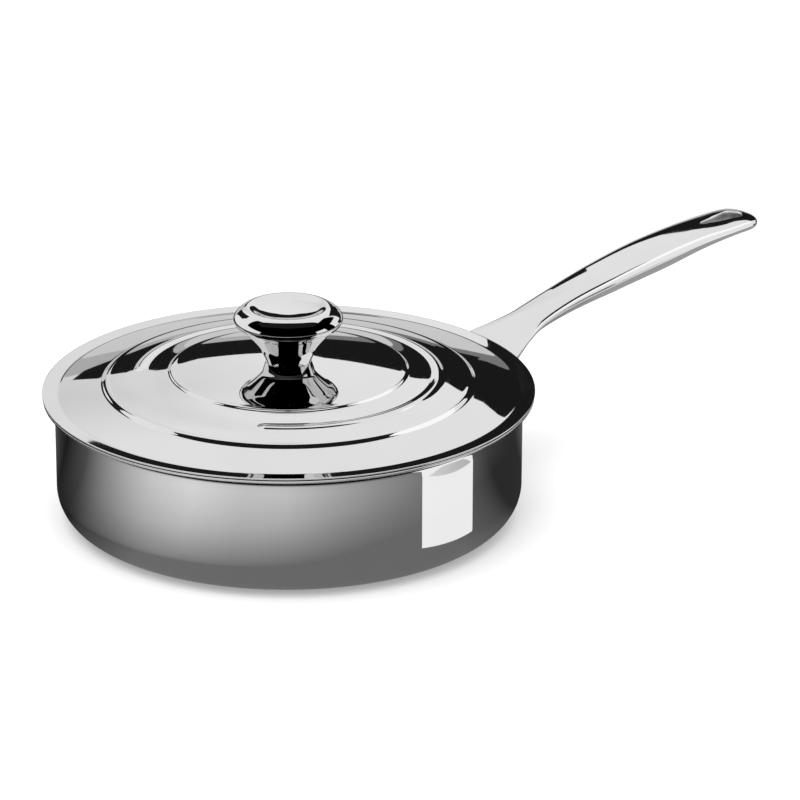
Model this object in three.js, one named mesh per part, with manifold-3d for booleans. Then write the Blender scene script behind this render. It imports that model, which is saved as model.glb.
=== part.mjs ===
// Saute pan with lid: a clad pan with a flared rim, a riveted cast handle, and a pressed lid with a knob.
// Millimetres, +Z up. The origin is the centre of the base's underside and the handle lies along +X.

import * as THREE from 'three';
import { mergeVertices } from 'three/addons/utils/BufferGeometryUtils.js';
import Module from 'manifold-3d';

// Pan body: three plies rolled as one sheet
const wallRadius = 122.5; // outside of the wall, under the rim
const wallLean = 0.3; // how much narrower the wall is at its foot
const baseCornerRadius = 18.3; // outside of the bend from base to wall
const rimLedge = 2.2; // flat of the pouring rim, past its bend
const rimFlareRadius = 4; // outside of the bend from wall to rim
const rimTop = 68.4; // the face that the lid rests on
const rimRadius = wallRadius + rimFlareRadius + rimLedge;
const outerPly = 0.4;
const corePly = 1.3;
const innerPly = 0.4;
const bondGap = 0.05; // between one ply and the next
const panThickness = outerPly + corePly + innerPly + 2 * bondGap;

// Handle: a bent casting whose top runs down to the wall and along it as a riveted foot
const handleGap = 0.3; // between the foot and the wall
const footDrop = 42; // from the rim's top to the foot's lower end
const footBend = 9; // radius of the casting's bend at the wall
const footBendDrop = 9.5; // from the rim's top down to where the bend leaves the wall's top
const footThickness = 4.2;
const footHalfWidth = 26;
const footEndHalfWidth = 8;
const neckHalfWidth = 12.3;
const gripHalfWidth = 15;
const tipHalfWidth = 14.6;
const neckDepth = 7.8; // under the widest line of the section
const bellyDepth = 11.4;
const tipDepth = 6.4;
const crownHeight = 2.2; // of the top face over the widest line
const tipReach = 197; // from the wall to the end of the handle
const tipRise = 29.9; // over the rim's top
const tipRounding = 13;
const holeLength = 28; // hanging hole, a drop that points to the pan
const holeWidth = 11;
const holePointRadius = 1.4;
const holeEndWall = 7.2; // metal past the hole

// Rivets: two above, one below
const rivetShankRadius = 3;
const rivetHeadRadius = 6.4;
const rivetHeadHeight = 2;
const rivetTailRadius = 5;
const rivetTailHeight = 1.2;
const rivetClearance = 0.3;
const upperRivetDrop = 23; // from the rim's top
const lowerRivetDrop = 35;
const upperRivetSpread = 15; // each side of the middle

// Lid: one pressed sheet
const lidOverhang = 0.3; // past the pan's rim
const lidSheet = 0.8;
const mouthClearance = 1.9; // from the groove that keeps the lid in place to the end of the rim's bend
const grooveWidth = 5.4;
const grooveDepth = 0.9;
const outerFieldWidth = 20.6; // from the groove to the first step
const outerStepRun = 3.2;
const outerStepRise = 1.7;
const innerFieldWidth = 32; // from the first step to the second
const innerStepRun = 2;
const innerStepRise = 1.1;
const fieldDomeRadius = 540; // of the rings between the steps
const plateauDomeRadius = 420; // of the middle
const knobSeatRadius = 13.5; // flat under the knob
const lidHoleRadius = 3.4;
const ridgeInset = 16.4; // from the first step
const ridgeHalfWidth = 3.2;
const ridgeHeight = 0.9;
const ridgeStart = -137; // degrees, anticlockwise from the handle, where the ridge begins
const ridgeSweep = 273.5;

// Knob, with the screw and washer that hold it
const knobFootRadius = 11.9;
const knobWaistRadius = 14.9;
const knobWaistHeight = 7.8;
const knobUnderRadius = 22.5;
const knobUnderHeight = 16.6;
const knobCapRadius = 28.7;
const knobCapHeight = 23.4;
const knobCrestRadius = 21.4;
const knobHeight = 30;
const knobDishDepth = 2.4;
const knobHoleDepth = 13;
const screwClearance = 0.4;
const screwEndGap = 1.5;
const screwHeadRadius = 5.6;
const screwHeadHeight = 2.8;
const screwSocketWidth = 5.4; // across the corners of the six-sided socket
const screwSocketDepth = 1.8;
const washerRadius = 8;
const washerThickness = 1.2;

// Facets of the round pieces, and steps along their curves
const panSegments = 48;
const knobSegments = 32;
const smallSegments = 16;
const cornerSteps = 4;
const flareSteps = 3;
const fieldSteps = 3;
const handleRings = 36;
const handleSides = 20;
const ridgeSteps = 30;
const tau = Math.PI * 2;

const wasm = await Module();
wasm.setup();

const point = (r, z) => new THREE.Vector2(r, z);
const radians = THREE.MathUtils.degToRad;

// Points of an arc in the plane of a profile, both ends included.
function arc(centreR, centreZ, radius, fromDegrees, toDegrees, steps) {
  return Array.from({ length: steps + 1 }, (_, i) => {
    const angle = radians(fromDegrees + ((toDegrees - fromDegrees) * i) / steps);
    return point(centreR + radius * Math.cos(angle), centreZ + radius * Math.sin(angle));
  });
}

// A body of revolution about Z from a profile that runs anticlockwise in (radius, height).
function turned(profile, segments) {
  return new THREE.LatheGeometry(profile, segments).rotateX(Math.PI / 2);
}

function toSolid(geometry) {
  const bare = geometry.clone();
  bare.deleteAttribute('normal');
  bare.deleteAttribute('uv');
  const welded = mergeVertices(bare, 1e-4);
  const mesh = new wasm.Mesh({
    numProp: 3,
    vertProperties: new Float32Array(welded.attributes.position.array),
    triVerts: new Uint32Array(welded.index.array),
  });
  return new wasm.Manifold(mesh);
}

function toGeometry(solid) {
  const mesh = solid.getMesh();
  const geometry = new THREE.BufferGeometry();
  geometry.setAttribute('position', new THREE.BufferAttribute(mesh.vertProperties, 3));
  geometry.setIndex(new THREE.BufferAttribute(mesh.triVerts, 1));
  return geometry;
}

const cut = (geometry, cutters) =>
  toGeometry(cutters.reduce((solid, cutter) => solid.subtract(toSolid(cutter)), toSolid(geometry)));

const parts = new THREE.Group();

function addPart(name, geometry, colour, roughness, metalness) {
  const material = new THREE.MeshStandardMaterial({ color: colour, roughness, metalness });
  const mesh = new THREE.Mesh(geometry, material);
  mesh.name = name;
  parts.add(mesh);
}

// Pan plies

// The pan's surface that lies a given depth inside its outer face, from the axis to the rim's edge.
function panSkin(inset) {
  const cornerCentre = wallRadius - wallLean - baseCornerRadius;
  const flareCentre = wallRadius + rimFlareRadius;
  const rimUnderside = rimTop - panThickness;
  const flareZ = rimUnderside - rimFlareRadius;
  return [
    point(0, inset),
    ...arc(cornerCentre, baseCornerRadius, baseCornerRadius - inset, -90, 0, cornerSteps),
    ...arc(flareCentre, flareZ, rimFlareRadius + inset, 180, 90, flareSteps),
    point(rimRadius, rimUnderside + inset),
  ];
}

// One ply with the rivets' holes, from the given depth inside the pan's outer face.
function ply(depth, thickness) {
  const sheet = turned([...panSkin(depth), ...panSkin(depth + thickness).reverse()], panSegments);
  return cut(sheet, rivetHoles);
}

// Rivets

const rivets = [
  { side: upperRivetSpread, height: rimTop - upperRivetDrop },
  { side: -upperRivetSpread, height: rimTop - upperRivetDrop },
  { side: 0, height: rimTop - lowerRivetDrop },
];
const innerWallRadius = wallRadius - panThickness;
const footFaceRadius = wallRadius + handleGap + footThickness;

// Lays a piece that is turned about Z along the outward line through a rivet's place.
function placeRadially(geometry, rivet) {
  const angle = Math.asin(rivet.side / wallRadius);
  return geometry.rotateY(Math.PI / 2).rotateZ(angle).translate(0, 0, rivet.height);
}

// The shank through wall and foot, with a low head trimmed to the wall inside the pan and a lower one
// on the foot.
function rivetGeometry(rivet) {
  const headFace = innerWallRadius - rivetClearance - rivetHeadHeight;
  const tailSeat = footFaceRadius + rivetClearance;
  const head = [
    point(0, headFace),
    point(rivetHeadRadius * 0.6, headFace + rivetHeadHeight * 0.15),
    point(rivetHeadRadius, headFace + rivetHeadHeight * 0.75),
    point(rivetHeadRadius, innerWallRadius + panThickness / 2),
    point(0, innerWallRadius + panThickness / 2),
  ];
  const shank = [
    point(0, headFace + rivetHeadHeight / 2),
    point(rivetShankRadius, headFace + rivetHeadHeight / 2),
    point(rivetShankRadius, tailSeat),
    point(rivetTailRadius, tailSeat),
    point(rivetTailRadius * 0.7, tailSeat + rivetTailHeight * 0.8),
    point(0, tailSeat + rivetTailHeight),
  ];
  const wall = [...panSkin(0), ...panSkin(panThickness + rivetClearance).reverse()];
  const trimmed = cut(placeRadially(turned(head, smallSegments), rivet), [turned(wall, panSegments)]);
  return toGeometry(toSolid(trimmed).add(toSolid(placeRadially(turned(shank, smallSegments), rivet))));
}

function rivetHole(rivet) {
  const radius = rivetShankRadius + rivetClearance;
  const start = innerWallRadius - rivetHeadRadius;
  const end = footFaceRadius + rivetHeadRadius;
  const profile = [point(0, start), point(radius, start), point(radius, end), point(0, end)];
  return placeRadially(turned(profile, smallSegments), rivet);
}

const rivetHoles = rivets.map(rivetHole);

// Handle

// Where the casting's upper face runs: up the wall, round the bend, then out to the tip. Each station
// has its distance from the wall, its height from the rim's top, its half width and its depth.
function handleStations() {
  const bendTop = -footBendDrop;
  const bendFoot = bendTop - footBend;
  const tipStart = tipReach - tipRounding;
  const foot = [
    [handleGap, -footDrop, footEndHalfWidth, footThickness],
    [handleGap, -footDrop + 3, footEndHalfWidth + 6, footThickness],
    [handleGap, (bendFoot - footDrop) / 2, footHalfWidth - 4, footThickness],
    [handleGap, bendFoot, footHalfWidth, footThickness],
    [handleGap + footBend * 0.28, bendTop - footBend * 0.34, footHalfWidth + 0.6, footThickness],
    [handleGap + footBend, bendTop + footBend * 0.06, footHalfWidth - 0.8, footThickness],
  ];
  const arm = [
    [17.5, -4.8, 21.4, footThickness - 1.2],
    [27.5, -0.3, 16.7, footThickness - 1.5],
    [39.5, 5, neckHalfWidth + 0.3, footThickness + 1.2],
    [60.5, 11.8, neckHalfWidth, neckDepth],
    [89.5, 18.9, gripHalfWidth - 1, bellyDepth - 1.2],
    [122.5, 25.3, gripHalfWidth, bellyDepth],
    [152.5, 28.8, gripHalfWidth - 0.2, (bellyDepth + tipDepth) / 2],
    [tipReach - 22, tipRise, gripHalfWidth, tipDepth],
    [tipStart, tipRise + 0.3, tipHalfWidth, tipDepth - 0.2],
  ];
  const tip = [0.6, 0.88, 1].map((share) => [
    tipStart + tipRounding * share,
    tipRise + 0.5 - share / 2,
    tipHalfWidth * (0.22 + 0.78 * Math.sqrt(1 - share ** 2.2)),
    tipDepth - 0.3 - share,
  ]);
  return [...foot, ...arm, ...tip];
}

// A closed skin through the casting's sections: a nearly flat crown above, a round belly below. At the
// wall the sections follow the pan's curve, so the foot lies on the wall.
function handleGeometry() {
  const stations = handleStations();
  const spine = new THREE.CatmullRomCurve3(stations.map(([x, z]) => new THREE.Vector3(x, 0, z)));
  const widths = new THREE.CatmullRomCurve3(stations.map(([, , w, d]) => new THREE.Vector3(w, d, 0)));
  const positions = [];
  const triangles = [];
  for (let ring = 0; ring <= handleRings; ring += 1) {
    const along = ring / handleRings;
    const centre = spine.getPoint(along);
    const tangent = spine.getTangent(along);
    const size = widths.getPoint(along);
    const onArm = THREE.MathUtils.smoothstep(centre.x, handleGap, 40);
    const crown = crownHeight * onArm;
    for (let side = 0; side < handleSides; side += 1) {
      const angle = (tau * side) / handleSides;
      const above = Math.sin(angle) > 0;
      const square = above ? 4 : 6 - 3.5 * onArm;
      const across = size.x * Math.sign(Math.cos(angle)) * Math.abs(Math.cos(angle)) ** (2 / square);
      const swell = Math.abs(Math.sin(angle)) ** (2 / square);
      const level = above ? crown * (swell - 1) : -crown - size.y * swell;
      const wrap = (Math.sqrt(wallRadius ** 2 - across ** 2) - wallRadius) * (1 - onArm);
      positions.push(
        wallRadius + centre.x - tangent.z * level + wrap,
        across,
        rimTop + centre.z + tangent.x * level,
      );
    }
  }
  const last = handleRings * handleSides;
  for (let side = 0; side < handleSides; side += 1) {
    const next = (side + 1) % handleSides;
    for (let ring = 0; ring < handleRings; ring += 1) {
      const a = ring * handleSides;
      const b = a + handleSides;
      triangles.push(a + side, a + next, b + side, b + side, a + next, b + next);
    }
    if (side > 0 && next > 0) {
      triangles.push(0, next, side, last, last + side, last + next);
    }
  }
  const geometry = new THREE.BufferGeometry();
  geometry.setAttribute('position', new THREE.Float32BufferAttribute(positions, 3));
  geometry.setIndex(triangles);
  return geometry;
}

// A drop-shaped bar that cuts the hanging hole: round at the tip's side, nearly pointed at the pan's.
function hangingHole() {
  const endRadius = holeWidth / 2;
  const endX = wallRadius + tipReach - holeEndWall - endRadius;
  const pointX = endX + endRadius - holeLength + holePointRadius;
  const lean = Math.acos((endRadius - holePointRadius) / (endX - pointX));
  const drop = new THREE.Shape();
  drop.absarc(endX, 0, endRadius, -(Math.PI - lean), Math.PI - lean, false);
  drop.absarc(pointX, 0, holePointRadius, Math.PI - lean, Math.PI + lean, false);
  const depth = 8 * tipDepth;
  const bar = new THREE.ExtrudeGeometry(drop, { depth, bevelEnabled: false, curveSegments: 8 });
  return bar.translate(0, 0, rimTop + tipRise - depth / 2);
}

// Lid

const lidRadius = rimRadius + lidOverhang;
const flangeTop = rimTop + lidSheet;
const grooveOuterRadius = wallRadius + rimFlareRadius - mouthClearance;
const grooveInnerRadius = grooveOuterRadius - grooveWidth;
const outerStepFoot = grooveInnerRadius - outerFieldWidth;
const outerStepHead = outerStepFoot - outerStepRun;
const ridgeRadius = outerStepHead - ridgeInset;
const innerStepFoot = outerStepHead - innerFieldWidth;
const innerStepHead = innerStepFoot - innerStepRun;
const ringRise = (outer, inner, dome) => (outer ** 2 - inner ** 2) / (2 * dome);

// Height of the lid's upper face inside each step, worked out from the flange inwards.
const outerFieldEnd = flangeTop + ringRise(grooveInnerRadius, outerStepFoot, fieldDomeRadius);
const outerStepTop = outerFieldEnd + outerStepRise;
const innerFieldEnd = outerStepTop + ringRise(outerStepHead, innerStepFoot, fieldDomeRadius);
const innerStepTop = innerFieldEnd + innerStepRise;
const knobSeat = innerStepTop + ringRise(innerStepHead, knobSeatRadius, plateauDomeRadius);

// Points of a domed ring between two radii, from the outer one inwards.
function domedField(outer, inner, outerHeight, dome) {
  return Array.from({ length: fieldSteps + 1 }, (_, i) => {
    const r = outer + ((inner - outer) * i) / fieldSteps;
    return point(r, outerHeight + ringRise(outer, r, dome));
  });
}

// The lid's upper face from its edge to the screw's hole.
function lidFace() {
  const grooveMiddle = (grooveInnerRadius + grooveOuterRadius) / 2;
  const grooveHalf = (grooveOuterRadius - grooveInnerRadius) / 2;
  return [
    point(lidRadius, flangeTop),
    point(grooveOuterRadius, flangeTop),
    point(grooveMiddle + grooveHalf * 0.4, flangeTop - grooveDepth * 0.8),
    point(grooveMiddle, flangeTop - grooveDepth),
    point(grooveMiddle - grooveHalf * 0.4, flangeTop - grooveDepth * 0.8),
    ...domedField(grooveInnerRadius, outerStepFoot, flangeTop, fieldDomeRadius),
    ...domedField(outerStepHead, innerStepFoot, outerStepTop, fieldDomeRadius),
    ...domedField(innerStepHead, knobSeatRadius, innerStepTop, plateauDomeRadius),
    point(lidHoleRadius, knobSeat),
  ];
}

// The raised ridge: a flat-bottomed bead swept part of the way round, sunk half into the sheet.
function ridgeGeometry() {
  const level = outerStepTop + ringRise(outerStepHead, ridgeRadius, fieldDomeRadius);
  const bead = new THREE.Shape();
  const sunk = lidSheet / 2;
  bead.moveTo(-sunk, -ridgeHalfWidth);
  bead.quadraticCurveTo(2 * ridgeHeight + sunk, 0, -sunk, ridgeHalfWidth);
  bead.closePath();
  const sweep = Array.from({ length: ridgeSteps + 1 }, (_, i) => {
    const angle = radians(ridgeStart + (ridgeSweep * i) / ridgeSteps);
    return new THREE.Vector3(ridgeRadius * Math.cos(angle), ridgeRadius * Math.sin(angle), level);
  });
  const path = new THREE.CatmullRomCurve3(sweep);
  return new THREE.ExtrudeGeometry(bead, { extrudePath: path, steps: ridgeSteps * 2, curveSegments: 6 });
}

function lidGeometry() {
  const face = lidFace();
  const underside = face.map(({ x, y }) => point(x, y - lidSheet)).reverse();
  const sheet = turned([...underside, ...face, underside[0]], panSegments);
  return toGeometry(toSolid(sheet).add(toSolid(ridgeGeometry())));
}

// Knob, washer and screw

const screwRadius = lidHoleRadius - screwClearance;

// A flared stem under a round cap with a dished top, bored from below for the screw.
function knobGeometry() {
  const flank = new THREE.SplineCurve([
    point(knobFootRadius, 0),
    point((knobFootRadius + knobWaistRadius) / 2, knobWaistHeight / 2),
    point(knobWaistRadius, knobWaistHeight),
    point(knobUnderRadius, knobUnderHeight),
    point(knobCapRadius - 1.2, knobCapHeight - 2.6),
    point(knobCapRadius, knobCapHeight),
    point((knobCapRadius + knobCrestRadius) / 2 + 2, (knobCapHeight + knobHeight) / 2 + 1.2),
    point(knobCrestRadius, knobHeight),
  ]);
  const dish = new THREE.SplineCurve([
    point(knobCrestRadius, knobHeight),
    point(knobCrestRadius * 0.72, knobHeight - knobDishDepth * 0.6),
    point(knobCrestRadius * 0.36, knobHeight - knobDishDepth * 0.93),
    point(0, knobHeight - knobDishDepth),
  ]);
  const bore = screwRadius + screwClearance;
  const profile = [
    point(0, knobHoleDepth),
    point(bore, knobHoleDepth),
    point(bore, 0),
    ...flank.getPoints(18),
    ...dish.getPoints(4).slice(1),
  ];
  return turned(profile, knobSegments).translate(0, 0, knobSeat);
}

const washerTop = knobSeat - lidSheet;
const washerUnderside = washerTop - washerThickness;

function washerGeometry() {
  const profile = [
    point(lidHoleRadius, washerUnderside),
    point(washerRadius, washerUnderside),
    point(washerRadius, washerTop),
    point(lidHoleRadius, washerTop),
    point(lidHoleRadius, washerUnderside),
  ];
  return turned(profile, smallSegments * 2);
}

// A socket-head screw whose head bears on the washer and whose shank stands clear in the knob.
function screwGeometry() {
  const headUnderside = washerUnderside - screwHeadHeight;
  const tip = knobSeat + knobHoleDepth - screwEndGap;
  const profile = [
    point(0, headUnderside),
    point(screwHeadRadius * 0.8, headUnderside),
    point(screwHeadRadius, headUnderside + screwHeadHeight * 0.4),
    point(screwHeadRadius, washerUnderside),
    point(screwRadius, washerUnderside),
    point(screwRadius, tip),
    point(0, tip),
  ];
  const socket = [
    point(0, -screwSocketDepth),
    point(screwSocketWidth / 2, -screwSocketDepth),
    point(screwSocketWidth / 2, screwSocketDepth),
    point(0, screwSocketDepth),
  ];
  return cut(turned(profile, smallSegments), [turned(socket, 6).translate(0, 0, headUnderside)]);
}

const polishedSteel = 0xc9cac9;
const innerSteel = 0xc4c5c3;
const aluminium = 0xb9bbbd;

addPart('pan_outer_ply', ply(0, outerPly), polishedSteel, 0.06, 1);
addPart('pan_core_ply', ply(outerPly + bondGap, corePly), aluminium, 0.35, 1);
addPart('pan_inner_ply', ply(panThickness - innerPly, innerPly), innerSteel, 0.2, 1);
addPart('handle', cut(handleGeometry(), [hangingHole(), ...rivetHoles]), polishedSteel, 0.06, 1);
rivets.forEach((rivet, i) => addPart(`handle_rivet_${i + 1}`, rivetGeometry(rivet), innerSteel, 0.15, 1));
addPart('lid_shell', lidGeometry(), polishedSteel, 0.05, 1);
addPart('lid_knob', knobGeometry(), polishedSteel, 0.04, 1);
addPart('knob_washer', washerGeometry(), innerSteel, 0.25, 1);
addPart('knob_screw', screwGeometry(), innerSteel, 0.25, 1);

export default parts;
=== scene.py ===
"""Saute pan with lid: smooth polished pieces built around the packed CAD frame, on a pale studio stage.

Everything is in metres in the CAD frame: origin at the centre of the base's underside, +Z up, handle
along +X. Each round piece is a profile turned about Z, and the handle is a section carried along a spine.
"""

import math

import bpy
import numpy as np
from bpy.props import FloatProperty, FloatVectorProperty, PointerProperty
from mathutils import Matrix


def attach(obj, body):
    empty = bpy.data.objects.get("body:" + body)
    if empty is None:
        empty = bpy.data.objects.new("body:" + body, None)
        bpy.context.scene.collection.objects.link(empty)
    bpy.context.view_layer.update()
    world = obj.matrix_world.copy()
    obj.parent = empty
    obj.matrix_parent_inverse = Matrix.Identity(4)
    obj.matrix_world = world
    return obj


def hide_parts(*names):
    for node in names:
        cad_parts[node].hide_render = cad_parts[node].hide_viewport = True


bl_info = {
    "name": "Saute pan with lid",
    "version": (1, 0, 0),
    "blender": (4, 5, 0),
    "location": "3D View > Sidebar > Saute pan",
    "description": "Builds a lidded saute pan of polished steel around its CAD frame",
    "category": "Add Mesh",
}

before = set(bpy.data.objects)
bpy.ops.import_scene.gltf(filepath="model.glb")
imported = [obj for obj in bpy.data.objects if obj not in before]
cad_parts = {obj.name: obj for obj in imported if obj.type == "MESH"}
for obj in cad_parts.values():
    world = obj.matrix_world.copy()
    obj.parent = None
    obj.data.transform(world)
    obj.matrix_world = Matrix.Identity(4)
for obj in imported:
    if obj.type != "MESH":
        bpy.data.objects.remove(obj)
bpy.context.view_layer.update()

MM = 0.001
PAN_SEGMENTS = 320  # facets round the pan and the lid
KNOB_SEGMENTS = 192
SMALL_SEGMENTS = 64
WELD = 1e-6  # points closer than this become one
WELD_SHIFT = 0.37  # keeps round numbers off the border between two cells of that size
LEAST_DISTANCE = 1e-9  # stands in where two points of a curve fall together
MIRROR_GLOSS = (0.012, 0.035)  # least and greatest roughness of a buffed face
BUFFING_SPACING = 1.5  # millimetres; the real lines are under 0.1 mm apart and too fine to show
MIRROR_RELIEF = 0.0001  # millimetres that those lines are deep
STREAK_LENGTH = 40  # millimetres that a streak or a dull patch runs on for
NOISE_RANGE = (0.3, 0.7)  # what the noise mostly stays within
PAINTED_SHADE_STEEL = "#1E1E1E"  # near-black steel painted as shade: the shadow line under the rim and the shade in the gap under the lid


def linear(code):
    """Linear RGBA from an sRGB hex colour."""
    srgb = np.array([int(code[i : i + 2], 16) for i in (1, 3, 5)]) / 255
    rgb = np.where(srgb <= 0.04045, srgb / 12.92, ((srgb + 0.055) / 1.055) ** 2.4)
    return (*rgb.tolist(), 1.0)


def size(name, description, millimetres):
    """A length that a user can change, kept in metres."""
    return FloatProperty(
        name=name,
        description=description,
        default=millimetres * MM,
        unit="LENGTH",
        subtype="DISTANCE",
        precision=5,
    )


def angle(name, description, degrees):
    """An angle that a user can change, kept in radians."""
    return FloatProperty(
        name=name, description=description, default=math.radians(degrees), subtype="ANGLE", unit="ROTATION"
    )


def colour(name, description, code):
    """A colour that a user can change, given as sRGB hex."""
    return FloatVectorProperty(
        name=name, description=description, size=4, subtype="COLOR", min=0, max=1, default=linear(code)
    )


class PanSizes(bpy.types.PropertyGroup):
    """Sizes of the pan's body."""

    wall_radius: size("Wall radius", "Outside of the wall, under the rim", 122.5)
    wall_lean: size("Wall lean", "How much narrower the wall is at its foot", 0.3)
    corner_radius: size("Corner radius", "Outside of the bend from base to wall", 18.3)
    flare_radius: size("Flare radius", "Outside of the bend from wall to rim", 4)
    rim_ledge: size("Rim ledge", "Flat of the pouring rim, past its bend", 2.2)
    rim_top: size("Rim top", "Height of the face that the lid rests on", 68.4)
    outer_ply: size("Outer ply", "Thickness of the outer steel", 0.4)
    core_ply: size("Core ply", "Thickness of the aluminium core", 1.3)
    inner_ply: size("Inner ply", "Thickness of the inner steel", 0.4)
    bond: size("Bond", "Gap between one ply and the next", 0.05)
    edge_bulge: size("Edge bulge", "How far the rim's polished edge is rounded", 1.2)


class HandleSizes(bpy.types.PropertyGroup):
    """Sizes of the cast handle and its rivets."""

    wall_gap: size("Wall gap", "Between the foot and the wall", 0.3)
    foot_drop: size("Foot drop", "From the rim's top to the foot's lower end", 42)
    foot_bend: size("Foot bend", "Radius of the casting's bend at the wall", 9)
    foot_bend_drop: size("Foot bend drop", "From the rim's top to the top of the bend", 9.5)
    foot_thickness: size("Foot thickness", "Thickness of the casting at the wall", 4.2)
    foot_half_width: size("Foot half width", "Half of the foot's greatest width", 26)
    foot_end_half_width: size("Foot end half width", "Half of the foot's lower end", 8)
    neck_half_width: size("Neck half width", "Half of the narrowest place", 12.3)
    grip_half_width: size("Grip half width", "Half of the grip's width", 15)
    tip_half_width: size("Tip half width", "Half of the width before the tip is rounded", 14.6)
    neck_depth: size("Neck depth", "Under the section's widest line at the neck", 7.8)
    belly_depth: size("Belly depth", "Under the section's widest line at the grip", 11.4)
    tip_depth: size("Tip depth", "Under the section's widest line at the tip", 6.4)
    crown_height: size("Crown height", "That the casting's depth gains where it leaves the wall", 2.2)
    crown_share: FloatProperty(
        name="Crown share",
        description="Share of the grip's depth that lies over its widest line",
        default=0.45,
        min=0.1,
        max=0.9,
        subtype="FACTOR",
    )
    tip_reach: size("Tip reach", "From the wall to the end of the handle", 197)
    tip_rise: size("Tip rise", "Of the tip over the rim's top", 29.9)
    tip_rounding: size("Tip rounding", "Length of the tip's rounded end", 13)
    hole_length: size("Hole length", "Length of the hanging hole", 28)
    hole_width: size("Hole width", "Width of the hanging hole", 11)
    hole_point_radius: size("Hole point radius", "Radius of the hole's narrow end", 1.4)
    hole_end_wall: size("Hole end wall", "Metal past the hole", 7.2)
    hole_edge: size("Hole edge", "Rounding of the hole's edges", 1.0)
    rivet_shank_radius: size("Rivet shank radius", "Radius of a rivet's shank", 3)
    rivet_head_radius: size("Rivet head radius", "Radius of the head inside the pan", 6.4)
    rivet_head_height: size("Rivet head height", "Height of the head inside the pan", 2)
    rivet_tail_radius: size("Rivet tail radius", "Radius of the tail on the foot", 5)
    rivet_tail_height: size("Rivet tail height", "Height of the tail on the foot", 1.2)
    upper_rivet_drop: size("Upper rivet drop", "From the rim's top to the upper rivets", 23)
    lower_rivet_drop: size("Lower rivet drop", "From the rim's top to the lower rivet", 35)
    rivet_spread: size("Rivet spread", "Of the upper rivets, each side of the middle", 15)


class LidSizes(bpy.types.PropertyGroup):
    """Sizes of the pressed lid."""

    overhang: size("Overhang", "Of the lid past the pan's rim", 0.3)
    sheet: size("Sheet", "Thickness of the lid's sheet", 0.8)
    mouth_clearance: size("Mouth clearance", "From the groove to the end of the rim's bend", 1.9)
    groove_width: size("Groove width", "Of the groove that keeps the lid in place", 5.4)
    flange_slope: angle("Flange slope", "Angle that the flange rises by towards its edge", 4)
    seat_inset: size("Seat inset", "From the lid's edge to where the flange rests on the rim", 3.6)
    valley_rounding: size("Valley rounding", "How far the valley's bottom is filled", 0.06)
    bead_height: size("Bead height", "Of the bead along the head of each step", 0.18)
    bead_half_width: size("Bead half width", "Half of the width of that bead", 1.5)
    outer_field: size("Outer field", "Width from the groove to the first step", 20.6)
    outer_step_run: size("Outer step run", "Width of the first step", 3.2)
    outer_step_rise: size("Outer step rise", "Height of the first step", 1.7)
    inner_field: size("Inner field", "Width from the first step to the second", 32)
    inner_field_wave: size("Inner field wave", "That the inner ring swings off its straight cone", 0.19)
    inner_step_run: size("Inner step run", "Width of the second step", 2)
    inner_step_rise: size("Inner step rise", "Height of the second step", 1.1)
    field_dome: size("Field dome", "Radius that the rings are domed to", 540)
    plateau_dome: size("Plateau dome", "Radius that the middle is domed to", 420)
    knob_seat: size("Knob seat", "Radius of the flat under the knob", 13.5)
    hole_radius: size("Hole radius", "Radius of the screw's hole", 3.4)
    ridge_inset: size("Ridge inset", "From the first step to the ridge", 16.4)
    ridge_outer_run: size("Ridge outer run", "From the ridge's crest to its outer foot", 2.9)
    ridge_inner_run: size("Ridge inner run", "From the ridge's crest to its inner foot", 5)
    ridge_height: size("Ridge height", "Height of the ridge", 0.95)
    ridge_start: angle("Ridge start", "Angle from the handle where the ridge begins", -137)
    ridge_sweep: angle("Ridge sweep", "Angle that the ridge runs through", 273.5)


class KnobSizes(bpy.types.PropertyGroup):
    """Sizes of the knob and of what holds it."""

    foot_radius: size("Foot radius", "Of the knob's stem on the lid", 11.9)
    waist_radius: size("Waist radius", "Of the stem where it begins to flare", 14.9)
    waist_height: size("Waist height", "Of the place where the stem begins to flare", 7.8)
    under_radius: size("Under radius", "Of the flare under the cap", 22.5)
    under_height: size("Under height", "Of the flare under the cap", 16.6)
    cap_radius: size("Cap radius", "Of the cap's widest line", 28.7)
    cap_height: size("Cap height", "Of the cap's widest line", 23.4)
    crest_radius: size("Crest radius", "Of the ring round the dished top", 21.4)
    height: size("Height", "Of the knob's crest over the lid", 30)
    dish_depth: size("Dish depth", "Of the dished top", 2.4)
    bore_depth: size("Bore depth", "Of the screw's hole in the knob", 13)
    bore_clearance: size("Bore clearance", "Between the screw and its hole", 0.4)
    screw_end_gap: size("Screw end gap", "Between the screw and the end of its hole", 1.5)
    screw_head_radius: size("Screw head radius", "Of the screw's head", 5.6)
    screw_head_height: size("Screw head height", "Of the screw's head", 2.8)
    socket_width: size("Socket width", "Across the corners of the six-sided socket", 5.4)
    socket_depth: size("Socket depth", "Of the six-sided socket", 1.8)
    washer_radius: size("Washer radius", "Of the washer under the lid", 8)
    washer_thickness: size("Washer thickness", "Of the washer under the lid", 1.2)


class Finishes(bpy.types.PropertyGroup):
    """Colours of the metals and of the stage."""

    polished: colour("Polished steel", "Buffed stainless steel", "#E2E2E2")
    polished_deep: colour("Polished steel, deep", "Buffed stainless steel in its duller places", "#DADADB")
    satin: colour("Satin steel", "Turned stainless steel inside the pan", "#C9C8C4")
    satin_deep: colour("Satin steel, deep", "Turned stainless steel between its lines", "#B4B3AF")
    aluminium: colour("Aluminium", "Edge of the core", "#E0E1E3")
    aluminium_deep: colour("Aluminium, deep", "Edge of the core between its lines", "#D0D2D4")
    floor: colour("Floor", "The studio's floor", "#F4F4F4")


def group(context, name):
    """One of this file's property groups."""
    return getattr(context.scene, f"saute_{name}")


# Surfaces


def smooth(low, high, value):
    """A ramp from 0 at low to 1 at high that starts and ends level."""
    t = np.clip((value - low) / (high - low), 0, 1)
    return t * t * (3 - 2 * t)


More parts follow.
